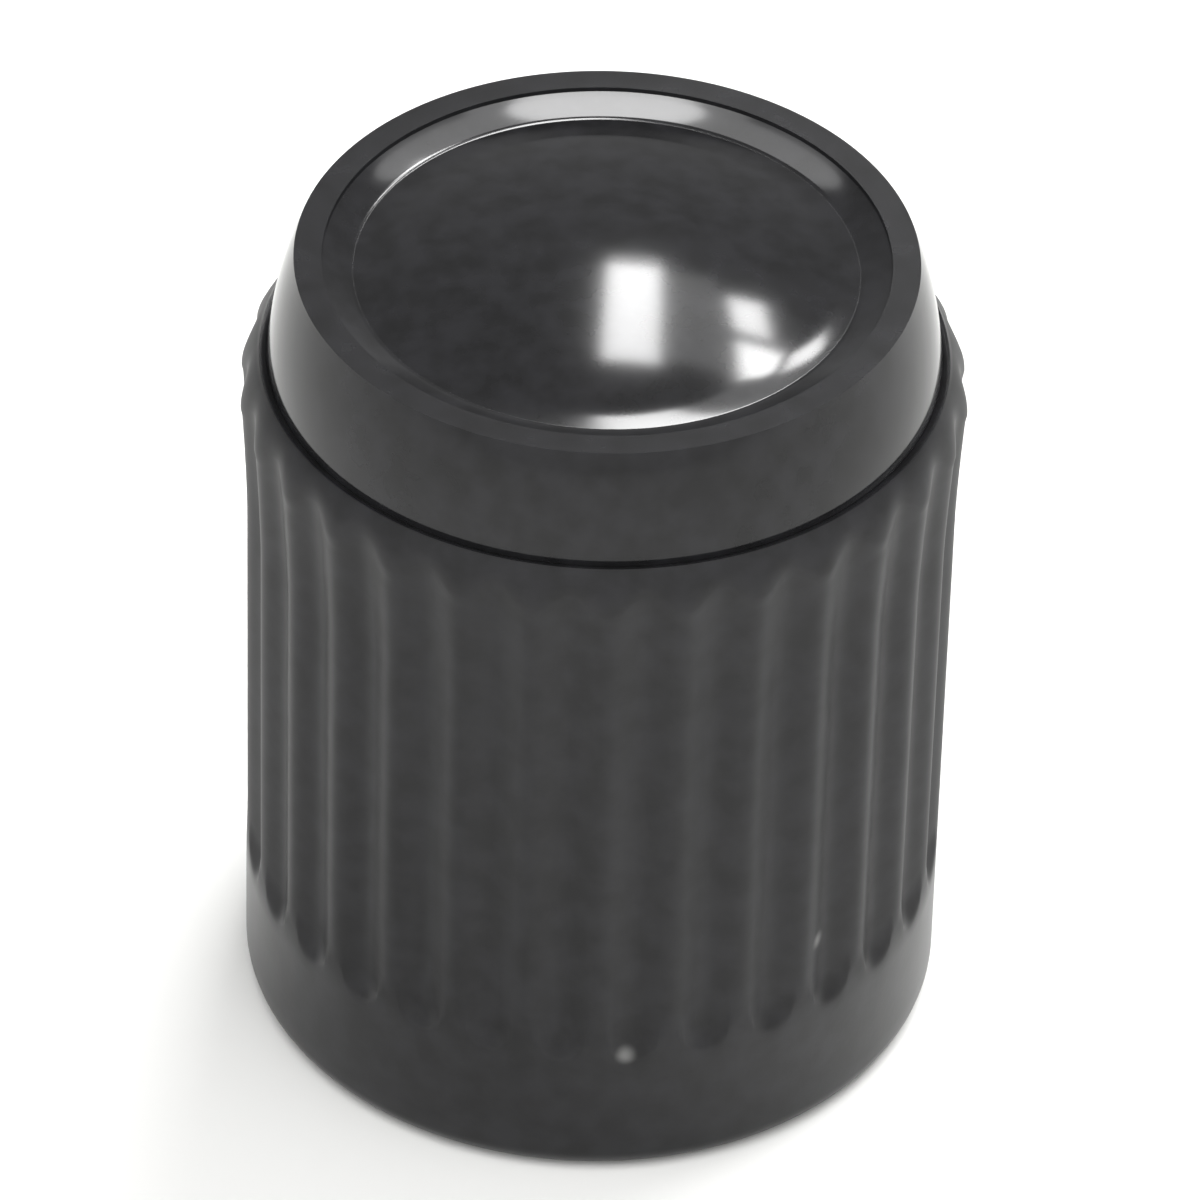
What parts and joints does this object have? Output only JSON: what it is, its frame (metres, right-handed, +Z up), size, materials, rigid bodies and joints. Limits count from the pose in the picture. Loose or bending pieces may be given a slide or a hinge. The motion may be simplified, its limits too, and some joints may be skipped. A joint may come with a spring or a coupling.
{
  "type": "tyre valve cap",
  "caption": "Black moulded plastic screw cap for a car tyre valve, with a fluted grip, a plain foot band and a domed head.",
  "frame": {"origin": "centre of the cap's open mouth, in the plane that it stands on", "axes": "+Z up along the cap's axis, from the mouth to the dome"},
  "size_m": [0.0102, 0.0102, 0.0128],
  "materials": {
    "cap_plastic": "black moulded plastic, glossy on the dome and a little duller on the ribs",
    "washer_rubber": "matt black rubber"
  },
  "bodies": {
    "root": {"cap": "cap_plastic", "sealing_washer": "washer_rubber"}
  },
  "joints": []
}
